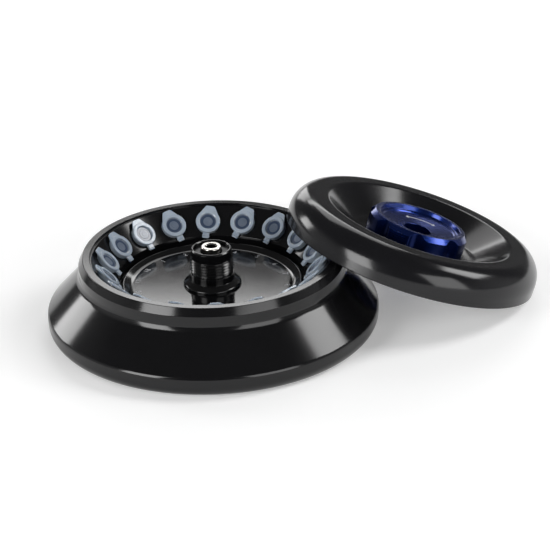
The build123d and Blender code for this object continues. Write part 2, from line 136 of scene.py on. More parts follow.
# %% patches become one mesh
def mesh_of(name, patches, values=None):
    """Joins patches into one mesh, welds points closer than 0.0001 mm and sets each corner's own normal.

    Where two patches meet in a tangent their normals agree, and the surface runs on. Where they meet in an
    edge, the normals differ and the edge is sharp. values gives one number for each point, kept as the
    attribute "zone".
    """
    points = np.concatenate([p["v"] for p in patches])
    corner_n = np.concatenate([p["n"] for p in patches])
    first = np.cumsum([0] + [len(p["v"]) for p in patches])[:-1]
    faces = np.concatenate([p["f"] + f for p, f in zip(patches, first)])
    tags = np.concatenate([np.full(len(p["f"]), p["tag"]) for p in patches])
    _, keep, weld = np.unique(np.round(points, 4), axis=0, return_index=True, return_inverse=True)
    weld = weld.reshape(-1)
    welded = weld[faces]
    nxt = np.roll(welded, -1, 1)
    solid = welded != nxt                          # a corner that repeats its neighbour is dropped
    enough = solid.sum(1) >= 3
    faces, welded, solid, tags = faces[enough], welded[enough], solid[enough], tags[enough]
    corners, sources = welded[solid], faces[solid]
    count = solid.sum(1)
    mesh = bpy.data.meshes.new(name)
    mesh.vertices.add(len(keep))
    mesh.vertices.foreach_set("co", (points[keep] * MM).astype(np.float32).ravel())
    mesh.loops.add(len(corners))
    mesh.loops.foreach_set("vertex_index", corners.astype(np.int32))
    mesh.polygons.add(len(count))
    mesh.polygons.foreach_set("loop_start", (np.cumsum(count) - count).astype(np.int32))
    mesh.polygons.foreach_set("material_index", tags.astype(np.int32))
    mesh.polygons.foreach_set("use_smooth", np.ones(len(count), bool))
    mesh.update(calc_edges=True)
    mesh.normals_split_custom_set(corner_n[sources].tolist())
    if values is not None:
        zone = mesh.attributes.new("zone", "FLOAT", "POINT")
        zone.data.foreach_set("value", np.asarray(values, np.float32)[keep])
    return mesh


def put(name, data):
    """A new object in the scene, at the origin."""
    made = bpy.data.objects.new(name, data)
    bpy.context.scene.collection.objects.link(made)
    return made


def piece(name, patches, body, materials, stands_for=(), values=None):
    """A finished piece: its mesh at the origin, its finishes, and the CAD body that it rides on."""
    mesh = mesh_of(name, patches, values)
    for material in materials:
        mesh.materials.append(material)
    made = put(name, mesh)
    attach(made, body)
    if stands_for:
        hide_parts(*stands_for)
    print(f"{name}: {len(mesh.vertices)} points, {len(mesh.polygons)} faces")
    return made


# %% [markdown]
# ## Outlines
# A turned piece is drawn as half of its section: a list of corners, each with the radius of its round. No
# machined edge is truly sharp. A broken edge of 0.2 mm is what makes the thin bright line round a dark rim,
# so every outer corner has one.

# %% rounds on the corners of an outline
STEP_DEG = 9.0                                   # one face for each 9 degrees of a round


def unit(v):
    """Each row as a direction of length 1."""
    return v / np.maximum(np.linalg.norm(v, axis=1, keepdims=True), 1e-12)


def rounded(corners):
    """The runs of a closed outline of (radius, height, round) corners, as arrays of (points, columns, 2).

    A round of radius R at a corner of angle w starts R / tan(w / 2) before it. Its centre lies R / sin(w / 2)
    along the bisector, and its points are a circular blend of the two tangent points. Radius and height may be
    arrays, one value for each column round the axis, which is how flutes and hexagons are made.
    """
    columns = max(np.size(v) for c in corners for v in c[:2])
    p = np.array([[np.broadcast_to(v, columns) for v in c[:2]] for c in corners], float).transpose(0, 2, 1)
    size = [c[2] for c in corners]
    starts, ends, runs = [], [], []
    for k, radius in enumerate(size):
        back, on = unit(p[k - 1] - p[k]), unit(p[(k + 1) % len(p)] - p[k])
        angle = np.arccos(np.clip((back * on).sum(1), -1, 1))[:, None]
        if radius <= 0:
            starts.append(p[k]), ends.append(p[k]), runs.append(None)
            continue
        cut = radius / np.tan(angle / 2)
        centre = p[k] + unit(back + on) * radius / np.sin(angle / 2)
        s, e, sweep = p[k] + back * cut - centre, p[k] + on * cut - centre, np.pi - angle
        steps = max(3, int(np.ceil(np.degrees(sweep.max()) / STEP_DEG)) + 1)
        t = np.linspace(0, 1, steps)[:, None, None]
        runs.append(centre + (np.sin((1 - t) * sweep) * s + np.sin(t * sweep) * e) / np.sin(sweep))
        starts.append(centre + s), ends.append(centre + e)
    out = []
    for k in range(len(p)):
        if runs[k] is not None:
            out.append(runs[k])
        out.append(np.stack([ends[k], starts[(k + 1) % len(p)]]))
    return out


def spun(r, a, z):
    """Points at radius r and height z, at the angles a round the axis."""
    return np.stack(np.broadcast_arrays(r * np.cos(a), r * np.sin(a), z), -1)


def turned(corners, columns=360, start=0.0, skip=(), tags=None, angles=None):
    """A surface of revolution: point(t, a) = (r(t) cos a, r(t) sin a, z(t)), for a closed outline.

    skip lists straight runs that another surface fills: the number of the corner that the run comes after.
    tags gives a material number to a run by the same number, and to the round before it. angles gives the
    columns of an open sector, in degrees, in place of a whole turn.
    """
    runs = rounded(corners)
    flat = np.concatenate([r.mean(1) for r in runs])
    turn = np.sum(flat[:, 0] * np.roll(flat[:, 1], -1) - np.roll(flat[:, 0], -1) * flat[:, 1])
    angle = np.radians(start + np.arange(columns) * 360 / columns if angles is None else angles)
    patches, corner = [], -1
    for r in runs:
        straight = len(r) == 2
        corner += straight
        if straight and corner in skip:
            continue
        r = np.broadcast_to(r, (len(r), len(angle), 2))
        if r[..., 0].max() < 1e-6 or np.abs(r[0] - r[-1]).max() < 1e-7:
            continue
        xyz = spun(r[..., 0], angle, r[..., 1])
        tag = (tags or {}).get(corner if straight else corner + 1, 0)
        patches.append(grid(xyz, ring=angles is None, flip=turn < 0, tag=tag))
    return patches


# %% [markdown]
# ## Colours and nodes
# Colours are written as they look on a screen, in sRGB hex. Blender calculates with light, which is linear,
# so one function turns the one into the other. One more function adds a node with its settings and its links.

# %% helpers for materials
def linear(code):
    """'#rrggbb' to linear RGBA: v / 12.92 for dark values, ((v + 0.055) / 1.055) ** 2.4 for the rest."""
    v = np.array([int(code[i:i + 2], 16) for i in (1, 3, 5)]) / 255
    rgb = np.where(v <= 0.04045, v / 12.92, ((v + 0.055) / 1.055) ** 2.4)
    return (*rgb.tolist(), 1.0)


def add_node(tree, kind, settings=None, links=None):
    """One shader node. settings gives properties and inputs their values, links gives inputs their sockets."""
    made = tree.nodes.new("ShaderNode" + kind)
    for key, value in (settings or {}).items():
        if isinstance(key, str) and key in made.bl_rna.properties:
            setattr(made, key, value)
        else:
            made.inputs[key].default_value = value
    for key, socket in (links or {}).items():
        tree.links.new(socket, made.inputs[key])
    return made


def calc(tree, operation, *values):
    """One step of arithmetic on sockets and numbers."""
    numbers = {i: v for i, v in enumerate(values) if isinstance(v, float)}
    sockets = {i: v for i, v in enumerate(values) if i not in numbers}
    return add_node(tree, "Math", {"operation": operation, **numbers}, sockets).outputs[0]


def noise(tree, where, grain_mm, detail):
    """Noise of a grain of that size, read at the point where."""
    made = add_node(tree, "TexNoise", {"Scale": 1 / (grain_mm * MM), "Detail": detail}, {"Vector": where})
    return made.outputs[0]


def blend(tree, colours, factor):
    """A colour between the two, as far along as factor says."""
    ends = {"data_type": "RGBA", 6: linear(colours[0]), 7: linear(colours[1])}
    return add_node(tree, "Mix", ends, {0: factor}).outputs[2]


def scaled(tree, value, low, high):
    """A value between 0 and 1, spread from low to high."""
    return add_node(tree, "MapRange", {"To Min": low, "To Max": high}, {"Value": value}).outputs[0]


def new_material(name):
    """A material with an empty node tree, ready for a shader."""
    material = bpy.data.materials.new(name)
    material.use_nodes = True
    material.node_tree.nodes.clear()
    return material, material.node_tree


def with_shader(material, shader):
    """The material, with the shader linked to its output."""
    tree = material.node_tree
    tree.links.new(shader.outputs[0], add_node(tree, "OutputMaterial").inputs[0])
    return material


# %% [markdown]
# ## Where the lid leans
# The lid rests on two things: its foot on the table, and its seat ring across the rotor's rim. Its place is
# its top ring's centre and three axes. The azimuth of the lean and the distance are set. The tilt is the one
# at which both contacts hold, as for a plate that leans on a pan, and is written here as a number.

# %% the lid's place
LID_TILT, LEAN_AZ, LEAN_D = math.radians(18.995), math.radians(16.0), 113.8
LID_H, LID_R, LID_FOOT_ROUND = 18.0, 68.2, 0.6
tilt_sin, tilt_cos = math.sin(LID_TILT), math.cos(LID_TILT)
lid_n = np.array([tilt_sin * math.cos(LEAN_AZ), tilt_sin * math.sin(LEAN_AZ), tilt_cos])
lid_x = np.array([lid_n[2], 0, -lid_n[0]])
lid_x /= np.linalg.norm(lid_x)
lid_z = (LID_H - LID_FOOT_ROUND) * tilt_cos + (LID_R - LID_FOOT_ROUND) * tilt_sin + LID_FOOT_ROUND
LID_PLACE = np.eye(4)
LID_PLACE[:3, :3] = np.stack([lid_x, np.cross(lid_n, lid_x), lid_n], 1)
LID_PLACE[:3, 3] = (LEAN_D * math.cos(LEAN_AZ), LEAN_D * math.sin(LEAN_AZ), lid_z)
print("lid centre (mm)", LID_PLACE[:3, 3].round(2))

# %% [markdown]
# ## Anodised aluminium
# Anodising grows a hard, clear oxide on the metal, and black dye fills its pores. What the eye gets is a deep
# black with the reflections of a clear, fairly smooth skin over it. The turning tool leaves fine rings round
# the axis. At 0.1 mm they are too fine to show, so they are drawn as streaks of about 0.5 mm, as faint as
# the real ones look together. They follow the distance from the axis and the height, so that they run round
# flat faces and flanks alike. A soft, larger pattern changes the roughness and the shade, as handling does.

# %% a turned and anodised finish
HANDLED_MM, STREAK_SHARE = 22, 0.35              # size of handled patches, and the streaks' share


def anodised(name, colour, rough, metal=0.0, level=0.5, coat=0.0, ring_mm=0.5, ring_depth=0.0015, place=None):
    """Anodised aluminium with turning streaks round the axis of place, or round the rotor's axis."""
    material, tree = new_material(name)
    where = add_node(tree, "TexCoord").outputs["Object"]
    if place is not None:                         # Texture mapping takes the place's own frame out
        euler = Matrix(place[:3, :3].tolist()).to_euler()
        where = add_node(tree, "Mapping", {
            "vector_type": "TEXTURE", "Location": (place[:3, 3] * MM).tolist(), "Rotation": tuple(euler),
        }, {"Vector": where}).outputs["Vector"]
    xyz = add_node(tree, "SeparateXYZ", links={"Vector": where}).outputs
    x2 = calc(tree, "MULTIPLY", xyz["X"], xyz["X"])
    radius = calc(tree, "SQRT", calc(tree, "MULTIPLY_ADD", xyz["Y"], xyz["Y"], x2))
    profile = add_node(tree, "CombineXYZ", links={"X": radius, "Z": xyz["Z"]}).outputs[0]
    streaks = add_node(tree, "TexNoise", {"Scale": 1 / (ring_mm * MM), "Detail": 3.0, "Roughness": 0.6},
                       {"Vector": profile})
    handled = add_node(tree, "TexNoise", {"Scale": 1 / (HANDLED_MM * MM), "Detail": 4.0, "Roughness": 0.55},
                       {"Vector": where})
    mixed = calc(tree, "MULTIPLY_ADD", streaks.outputs[0], STREAK_SHARE, handled.outputs[0])
    roughness = add_node(tree, "MapRange", {
        "From Min": 0.45, "From Max": 0.95, "To Min": rough * 0.88, "To Max": rough * 1.16,
    }, {"Value": mixed})
    tint = blend(tree, colour, handled.outputs[0])
    bump = add_node(tree, "Bump", {"Strength": 0.6, "Distance": ring_depth * MM},
                    {"Height": streaks.outputs[0]})
    shader = add_node(tree, "BsdfPrincipled", {
        "Metallic": metal, "IOR": 1.5, "Specular IOR Level": level,
        "Coat Weight": coat, "Coat Roughness": 0.12,
    }, {"Base Color": tint, "Roughness": roughness.outputs[0], "Normal": bump.outputs[0]})
    return with_shader(material, shader)


body_black = anodised("turned_aluminium_black_anodised", ("#0a0a0b", "#0e0e10"), 0.14, level=0.4)
floor_black = anodised("polished_aluminium_black_anodised", ("#0a0a0b", "#0e0e10"), 0.1, level=0.5,
                       ring_depth=0.0003)
hub_black = anodised("turned_hub_black_anodised", ("#060607", "#0a0a0b"), 0.18, level=0.5)
lid_black = anodised("satin_aluminium_black_anodised", ("#0f0f11", "#141417"), 0.16, level=0.4,
                     place=LID_PLACE)
knob_blue = anodised("turned_aluminium_blue_anodised", ("#0b2468", "#102f7c"), 0.26, metal=0.92, coat=0.45,
                     place=LID_PLACE)
print("finishes:", [m.name for m in bpy.data.materials][-5:])

# %% [markdown]
# ## Steel
# The tie-down screw is turned stainless steel: bright, with a slightly warm tint and fine marks. Its ring and
# the lock nut are blackened against rust, and the knob's clip is dark spring steel.

# %% steels
def grained(name, colour, rough, grain_mm, depth_mm, strength, spread, settings):
    """A surface whose roughness and shade change over a fine grain, such as machined steel or rubber."""
    material, tree = new_material(name)
    grain = noise(tree, add_node(tree, "TexCoord").outputs["Object"], grain_mm, 3.0)
    bump = add_node(tree, "Bump", {"Strength": strength, "Distance": depth_mm * MM}, {"Height": grain})
    roughness = scaled(tree, grain, rough * spread[0], rough * spread[1])
    shader = add_node(tree, "BsdfPrincipled", settings, {
        "Base Color": blend(tree, colour, grain), "Roughness": roughness, "Normal": bump.outputs[0],
    })
    return with_shader(material, shader)



STEEL = {"depth_mm": 0.002, "strength": 0.4, "spread": (0.8, 1.25), "settings": {"Metallic": 1.0}}
stainless = grained("turned_stainless_steel", ("#c4c1bb", "#d8d5cf"), 0.17, 0.6, **STEEL)
# the blackened finish is real on the ring and the nut, and paints the shade inside the screw's socket
blackened_and_socket_shade = grained("blackened_steel_and_socket_shade", ("#19191a", "#242426"), 0.3, 0.8, **STEEL)
spring = grained("spring_steel_clip", ("#4a4a4d", "#5b5b5f"), 0.32, 0.8, **STEEL)

# %% [markdown]
# ## Polypropylene
# Microtubes are moulded in natural polypropylene, a milky plastic that light enters and leaves again a little
# further on. Thick places, such as the flange and the rim of the cap, look bluish white. The thin web in the
# middle of the cap is painted dark: painted shade for the dark inside of the tube behind it. Each point of a
# tube or cap carries a number, "zone", that is 0 on thick places and 1 on the thin web, and the colour follows
# it. The disc in the middle of the web is a little thicker, so its zone is 0.7.

# %% natural polypropylene
def polypropylene(name, thick, thin, rough):
    """Moulded natural polypropylene. zone 0 is thick and milky, zone 1 is a thin web with painted shade."""
    material, tree = new_material(name)
    where = add_node(tree, "TexCoord").outputs["Object"]
    zone = add_node(tree, "Attribute", {"attribute_name": "zone"}).outputs["Fac"]
    cloud = noise(tree, where, 2.6, 3.0)
    skin = noise(tree, where, 0.35, 2.0)
    # the thin colours are painted shade, for the inside of the tube seen through the web
    milky, web = blend(tree, thick, cloud), blend(tree, thin, cloud)
    colour = add_node(tree, "Mix", {"data_type": "RGBA"}, {0: zone, 6: milky, 7: web}).outputs[2]
    roughness = scaled(tree, skin, rough * 0.8, rough * 1.3)
    bump = add_node(tree, "Bump", {"Strength": 0.5, "Distance": 0.01 * MM}, {"Height": skin}).outputs[0]
    shader = add_node(tree, "BsdfPrincipled", {
        "IOR": 1.49, "Sheen Weight": 0.12, "Sheen Roughness": 0.3, "Coat Weight": 0.4, "Coat Roughness": 0.08,
        "Subsurface Weight": 0.4, "Subsurface Radius": (0.7, 0.85, 1.1), "Subsurface Scale": 0.9 * MM,
    }, {"Base Color": colour, "Roughness": roughness, "Normal": bump})
    return with_shader(material, shader)


# the second pair of colours is the web's painted shade
pp = polypropylene("moulded_polypropylene_natural", ("#95a1af", "#abb6c2"), ("#2c3850", "#404e66"), 0.18)

# %% [markdown]
# ## Rubber and laser marks
# The seal ring is moulded rubber, matt and nearly black. The place numbers on the bowl's floor are marked by
# laser, which bleaches the dye to a pale grey.

# %% rubber and laser marks
MATT = {"strength": 0.5, "spread": (0.9, 1.15), "settings": {"IOR": 1.5}}
rubber = grained("moulded_seal_rubber", ("#1c1c1d", "#262627"), 0.6, 0.5, 0.01, **MATT)
laser_mark = grained("laser_bleached_mark", ("#b2b4b8", "#cbcdd1"), 0.55, 0.3, 0.002, **MATT)

# %% [markdown]
# ## The rotor body
# One outline gives everything that a lathe cut: recess, foot, skirt, flank, cove, collar, bevel, rim, ledge,
# groove and floor. Only the 45 degree wall of the bowl is left out, because the 18 bores cut it.

# %% the outline of the body
k_flank = math.tan(math.radians(FLANK_ANGLE))
flank_z = RIM_Z - FLANK_DROP
skirt_z = flank_z - (SKIRT_R - COLLAR_R) / k_flank
ledge_z = RIM_Z - LEDGE_DROP
wall_low_z = ledge_z - (LEDGE_R - MOAT_R)
recess_in = RECESS_R - RECESS_Z * 0.75
BODY = [
    (HUB_SHANK_R + SEAT_GAP, BOSS_Z, 0.3), (BOSS_R, BOSS_Z, 0.6), (BOSS_R, RECESS_Z, 2.0),
    (recess_in, RECESS_Z, 3.0), (RECESS_R - 1.0, RECESS_Z * 0.35, 1.0), (RECESS_R, 0, 0.8),
    (SKIRT_R, 0, FOOT_ROUND_R), (SKIRT_R, skirt_z, SHOULDER_R), (COLLAR_R, flank_z, COVE_R),
    (COLLAR_R, RIM_Z - COLLAR_DROP, 0.7), (RIM_R, RIM_Z, 0.35), (RIM_STEP_R, RIM_Z, 0.25),
    (RIM_STEP_R, ledge_z, 0.2), (LEDGE_R, ledge_z, 0.25), (MOAT_R, wall_low_z, 0.35), (MOAT_R, MOAT_Z, 0.6),
    (FLOOR_R, MOAT_Z, 0.6), (FLOOR_R, CREST_Z, 0.25), (FLOOR_R - CREST_W, CREST_Z, 0.35),
    (FLOOR_R - CREST_W - CREST_SLOPE, FLOOR_Z, 4.0), (HUB_SHANK_R + SEAT_GAP, FLOOR_Z, 0.2),
]
WALL_RUN, SLOPE_RUN, FLOOR_RUN = 13, 18, 19      # runs after the ledge's edge, the crest and its foot
SECTOR = 360 / PLACES
seam = PLACE_3_AZ + SECTOR / 2                   # columns start half way between two places
body_patches = turned(BODY, 360, start=seam, skip=(WALL_RUN,), tags={SLOPE_RUN: 1, FLOOR_RUN: 1})

# %% [markdown]
# ## The bored wall
# The wall is a cone of 45 degrees, and a bore meets it square. In the bore's own frame, with x up the wall, y
# across and z out of the bore, the cone is z = y * y / (2 * sqrt(2) * (r0 + x / sqrt(2))), where r0 is the
# cone's radius at the bore's axis. A boolean cut would do, but it leaves long thin faces that show on a
# polished wall. Each sector of 20 degrees is woven instead: rings of points run from the edge of the hole out
# to the edge of the sector, and the 18 sectors meet point to point.

# %% one sector of the wall, with its hole
ROOT2 = math.sqrt(2)
SPOT_EDGE, BORE_EDGE = 0.15, 0.3                 # chamfers round the flat seat and round the bore's mouth
bore_r0 = LEDGE_R - WALL_S / ROOT2
bore_z0 = ledge_z - WALL_S / ROOT2


def on_cone(x, y):
    """Height of the wall over the bore's own plane."""
    return y * y / (2 * ROOT2 * (bore_r0 + x / ROOT2))


def from_bore(x, y, z):
    """Points in the bore's frame at azimuth 0, as points of the rotor."""
    return np.stack([bore_r0 + (x - z) / ROOT2, y + 0 * x, bore_z0 + (x + z) / ROOT2], -1)


def sector_edge(top, bottom, side_steps=14):
    """Points round the sector's edge, as (azimuth in degrees, distance down the wall from the ledge)."""
    half, n = SECTOR / 2, int(SECTOR)
    across = np.linspace(-half, half, n + 1)[:-1]
    down = np.linspace(top, bottom, side_steps + 1)[:-1]
    phi = np.concatenate([across, np.full(side_steps, half), -across, np.full(side_steps, -half)])
    s = np.concatenate([np.full(n, top), down, np.full(n, bottom), top + bottom - down])
    return phi, s


def wall_sector(top, bottom):
    """The wall round one bore at azimuth 0, from the sector's edge in to the hole, then the bore itself."""
    phi, s = sector_edge(top, bottom)
    r_edge = LEDGE_R - s / ROOT2
    turn = np.arctan2(r_edge * np.sin(np.radians(phi)), WALL_S - s)
    rim_r = SPOT_R + SPOT_EDGE
    x, y = rim_r * np.cos(turn), rim_r * np.sin(turn)
    hole = from_bore(x, y, on_cone(x, y))
    hole_phi = np.degrees(np.arctan2(hole[:, 1], hole[:, 0]))
    hole_s = (ledge_z - hole[:, 2]) * ROOT2
    t = np.linspace(0, 1, 7)[:, None]
    p, d = np.radians(phi + (hole_phi - phi) * t), s + (hole_s - s) * t
    r = LEDGE_R - d / ROOT2
    wall = spun(r, p, ledge_z - d / ROOT2)
    out = np.stack([-np.cos(p), -np.sin(p), np.ones_like(p)], -1) / ROOT2
    inward = [grid(wall, normals=out)]

    def ring(radius, z):
        return from_bore(radius * np.cos(turn), radius * np.sin(turn), z + 0 * turn)

    x, y = SPOT_R * np.cos(turn), SPOT_R * np.sin(turn)
    lip = from_bore(x, y, on_cone(x, y) - SPOT_EDGE)
    steps = [
        hole, lip, ring(SPOT_R, -SPOT_DEPTH), ring(BORE_R + BORE_EDGE, -SPOT_DEPTH),
        ring(BORE_R, -SPOT_DEPTH - BORE_EDGE), ring(BORE_R, -BORE_STRAIGHT),
        ring(BORE_TIP_R, -BORE_DEPTH + 0.9), ring(0.0, -BORE_DEPTH),
    ]
    inward += [grid(np.stack([a, b])) for a, b in zip(steps, steps[1:])]
    return inward


def about_z(degrees):
    """Turns by that angle about the rotor's axis."""
    a, m = math.radians(degrees), np.eye(4)
    m[:2, :2] = [[math.cos(a), -math.sin(a)], [math.sin(a), math.cos(a)]]
    return m


def azimuth(number):
    """Azimuth of a place: the numbers run clockwise, seen from above."""
    return PLACE_3_AZ - SECTOR * (number - 3)


ends = [
    r[:, 0] for r in rounded(BODY)
    if np.hypot(*(r[0, 0] - (LEDGE_R, ledge_z))) < 1 and r[-1, 0, 1] < wall_low_z + 1
]
wall_top, wall_bottom = ((LEDGE_R - ends[0][i, 0]) * ROOT2 for i in (0, -1))
sector = wall_sector(wall_top, wall_bottom)
for number in range(1, PLACES + 1):
    body_patches += moved(sector, about_z(azimuth(number)))
piece("body_turned", body_patches, "rotor", [body_black, floor_black], ["rotor_body"])
print("wall from", round(wall_top, 2), "to", round(wall_bottom, 2), "mm down the slope")

# %% [markdown]
# ## The hub
# The hub carries the lid's thread. A thread is a ridge wound round a cylinder, so its surface is a function of
# the angle and the height: radius(a, z) depends only on how far z lies from the nearest turn, which is
# z / pitch - a / 360 without its whole part. The ridge fades out over 0.9 mm at both ends, a little more than
# half a turn, as a thread that is cut on a lathe does.

# %% hub outline and thread
HUB_TOP, HUB_RIM_R = 41.4, 10.43
THREAD_R, THREAD_ROOT_R, THREAD_PITCH, THREAD_TOP, THREAD_END = 11.1, 10.3, 1.5, 36.2, 28.0
HUB_NECK_R, HUB_FOOT_R, HUB_FOOT_EDGE, HUB_FOOT_H = 11.4, 14.9, 1.3, 3.3
DRIVE_BORE_R, DRIVE_BORE_DEPTH, RELIEF_R = 6.0, 19.0, 4.2
WEB_TOP, WEB_BOTTOM, CUP_R, CUP_STEP_R, CUP_STEP_Z = 33.3, 27.3, 9.05, 8.0, 38.3
SCREW_SHANK_R, SCREW_FIT = 3.0, 0.08
HUB = [
    (DRIVE_BORE_R, 0, 0.1), (HUB_SHANK_R, 0, 0.8), (HUB_SHANK_R, FLOOR_Z, 0), (HUB_FOOT_R, FLOOR_Z, 0.15),
    (HUB_FOOT_R, FLOOR_Z + HUB_FOOT_EDGE, 1.5), (HUB_NECK_R, FLOOR_Z + HUB_FOOT_H, 0.25),
    (HUB_NECK_R, THREAD_END, 0.25), (THREAD_ROOT_R, THREAD_END, 0.1), (THREAD_ROOT_R, THREAD_TOP, 0),
    (HUB_RIM_R, THREAD_TOP, 0.05), (HUB_RIM_R, HUB_TOP - 0.6, 0.15), (HUB_RIM_R - 0.6, HUB_TOP, 0.1),
    (CUP_R + 0.35, HUB_TOP, 0.1), (CUP_R, HUB_TOP - 0.35, 0.1), (CUP_R, CUP_STEP_Z, 0.1),
    (CUP_STEP_R, CUP_STEP_Z, 0.1), (CUP_STEP_R, WEB_TOP, 0.3), (SCREW_SHANK_R + SCREW_FIT, WEB_TOP, 0.1),
    (SCREW_SHANK_R + SCREW_FIT, WEB_BOTTOM, 0.1), (RELIEF_R, WEB_BOTTOM, 0.1),
    (RELIEF_R, DRIVE_BORE_DEPTH, 0.1), (DRIVE_BORE_R, DRIVE_BORE_DEPTH, 0.1),
]
THREAD_RUN = 7                                   # the run that the thread's surface fills
THREAD_CREST, THREAD_FADE = 1.04, 0.9            # over 1 for a flat crest; the length of a fade


def thread(columns=180, rows_per_turn=20):
    """radius(a, z) = root + depth * ridge, where ridge falls from 1 at a turn to 0 half way to the next."""
    a = np.arange(columns) * 2 * np.pi / columns
    rows = int((THREAD_TOP - THREAD_END) / THREAD_PITCH * rows_per_turn)
    z, a = np.linspace(THREAD_END + 0.1, THREAD_TOP, rows)[:, None], a[None, :]
    turns = (z - THREAD_END - THREAD_PITCH / 2) / THREAD_PITCH - a / (2 * np.pi)
    off = np.abs(turns - np.round(turns)) * THREAD_PITCH
    ridge = np.clip(THREAD_CREST - 2 * off / THREAD_PITCH, 0, 1)
    fade = np.clip((z - THREAD_END - 0.1) / THREAD_FADE, 0, 1) * np.clip((THREAD_TOP - z) / THREAD_FADE, 0, 1)
    r = THREAD_ROOT_R + (THREAD_R - THREAD_ROOT_R) * ridge * fade
    return grid(spun(r, a, z))


piece("hub_turned", turned(HUB, 180, skip=(THREAD_RUN,)) + [thread()], "rotor", [hub_black],
      ["drive_hub"])

# %% [markdown]
# ## The screw and its ring
# The screw clamps the rotor to the motor's shaft. Its hexagon socket is an outline whose radius changes round
# the axis: a flat at distance d from the middle is at d / cos(a) for an angle a off the flat's middle. The
# head is turned bright, and the socket is painted dark with the blackened finish: painted shade for its
# cavity.

# %% screw and ring
SCREW_TOP, SCREW_HEAD_R, SCREW_FLANGE_R, SCREW_FLANGE_T, SCREW_TIP_Z = 42.3, 5.15, 7.4, 1.4, 19.5
HEX_AF, HEX_DEPTH, RING_T, RING_HOLE_R = 5.0, 4.5, 1.2, 5.6
SOCKET_MOUTH_R, SOCKET_CONE = 3.35, 0.8          # the chamfered mouth, and the drill's cone under the hexagon
SCREW_COLUMNS = 144
around = np.degrees(np.arange(SCREW_COLUMNS) * 2 * np.pi / SCREW_COLUMNS)
hexagon = HEX_AF / 2 / np.cos(np.radians((around + 30) % 60 - 30))
head_z = WEB_TOP + SCREW_FLANGE_T
SCREW = [
    (0, SCREW_TIP_Z, 0), (SCREW_SHANK_R, SCREW_TIP_Z, 0.5), (SCREW_SHANK_R, WEB_TOP, 0),
    (SCREW_FLANGE_R, WEB_TOP, 0.15), (SCREW_FLANGE_R, head_z, 0.3), (SCREW_HEAD_R, head_z, 0.3),
    (SCREW_HEAD_R, SCREW_TOP, 0.6), (SOCKET_MOUTH_R, SCREW_TOP, 0.1), (hexagon, SCREW_TOP - 0.5, 0),
    (hexagon, SCREW_TOP - HEX_DEPTH, 0), (0, SCREW_TOP - HEX_DEPTH - SOCKET_CONE, 0),
]
SOCKET_WALL, SOCKET_FLOOR = 8, 9                 # runs inside the hexagon, painted dark with the blackened finish as painted shade
piece("screw_turned", turned(SCREW, SCREW_COLUMNS, tags={SOCKET_WALL: 1, SOCKET_FLOOR: 1}), "screw",
      [stainless, blackened_and_socket_shade], ["tie_down_screw"])
RING = [
    (RING_HOLE_R, CUP_STEP_Z, 0.05), (CUP_R - SEAT_GAP, CUP_STEP_Z, 0.05),
    (CUP_R - SEAT_GAP, CUP_STEP_Z + RING_T, 0.2), (RING_HOLE_R, CUP_STEP_Z + RING_T, 0.3),
]
piece("ring_turned", turned(RING, 144), "rotor", [blackened_and_socket_shade], ["screw_retaining_ring"])

# %% [markdown]
# ## Microtubes
# A tube is turned in shape though it is moulded: a cone below, a straight neck, and a flange that sits on the
# bore's seat. On the side away from the rim a strap runs to the cap. It folds back on itself, and the fold is
# the hinge. The strap is drawn as a bar: a rounded slab whose section is a superellipse,
# (|y|/w)^4 + (|z|/h)^4 = 1.

# %% tube sizes, and the bar
TUBE_R, TUBE_WALL, TUBE_STRAIGHT, TUBE_LENGTH, TUBE_TIP_R = 5.4, 0.9, 18.8, 37.6, 2.1
FLANGE_R, FLANGE_TOP = 6.35, 0.95
CAP_R, CAP_TOP, CAP_WELL_R, CAP_WELL_DEPTH, CAP_DISC_R = 6.5, 2.72, 4.4, 1.0, 2.6
PLUG_DEPTH, PLUG_GAP, CAP_WALL = 0.85, 0.13, 0.8
DISC_STEP, GATE_H = 0.15, 0.12                   # step round the disc in the cap's well, and its gate mark
LIP_REACH, LIP_TIP_W, LIP_STEP, LIP_BITE, LIP_EDGE = 8.9, 4.6, 0.4, 1.3, 0.1     # thumb lip of the cap
HINGE_X, HINGE_ROLL_R, HINGE_W, STRAP_T, STRAP_WAIST, FOLD_GAP = 8.85, 0.55, 3.8, 0.5, 0.16, 0.06


def bar(x, half_w, z, half_t, sections=24):
    """A closed slab along x: half_w, z and half_t are arrays of its half width, height and half thickness.

    A section's point is (sign(c)|c|^(1/2) * w, z + sign(s)|s|^(1/2) * t), where c and s are the cosine and
    sine of the way round. The ends are closed by rings that shrink to a point.
    """
    a = np.arange(sections) * 2 * np.pi / sections
    c, s = np.cos(a), np.sin(a)
    c, s = np.sign(c) * np.abs(c) ** 0.5, np.sign(s) * np.abs(s) ** 0.5
    x, half_w, z, half_t = (np.asarray(v, float)[:, None] for v in (x, half_w, z, half_t))
    xyz = np.stack([x + 0 * c, half_w * c, z + half_t * s], -1)
    first, last = xyz[:1].mean(1, keepdims=True), xyz[-1:].mean(1, keepdims=True)
    caps = [np.concatenate([np.broadcast_to(first, xyz[:1].shape), xyz[:1]]),
            np.concatenate([xyz[-1:], np.broadcast_to(last, xyz[:1].shape)])]
    return [grid(g) for g in (caps[0], xyz, caps[1])]


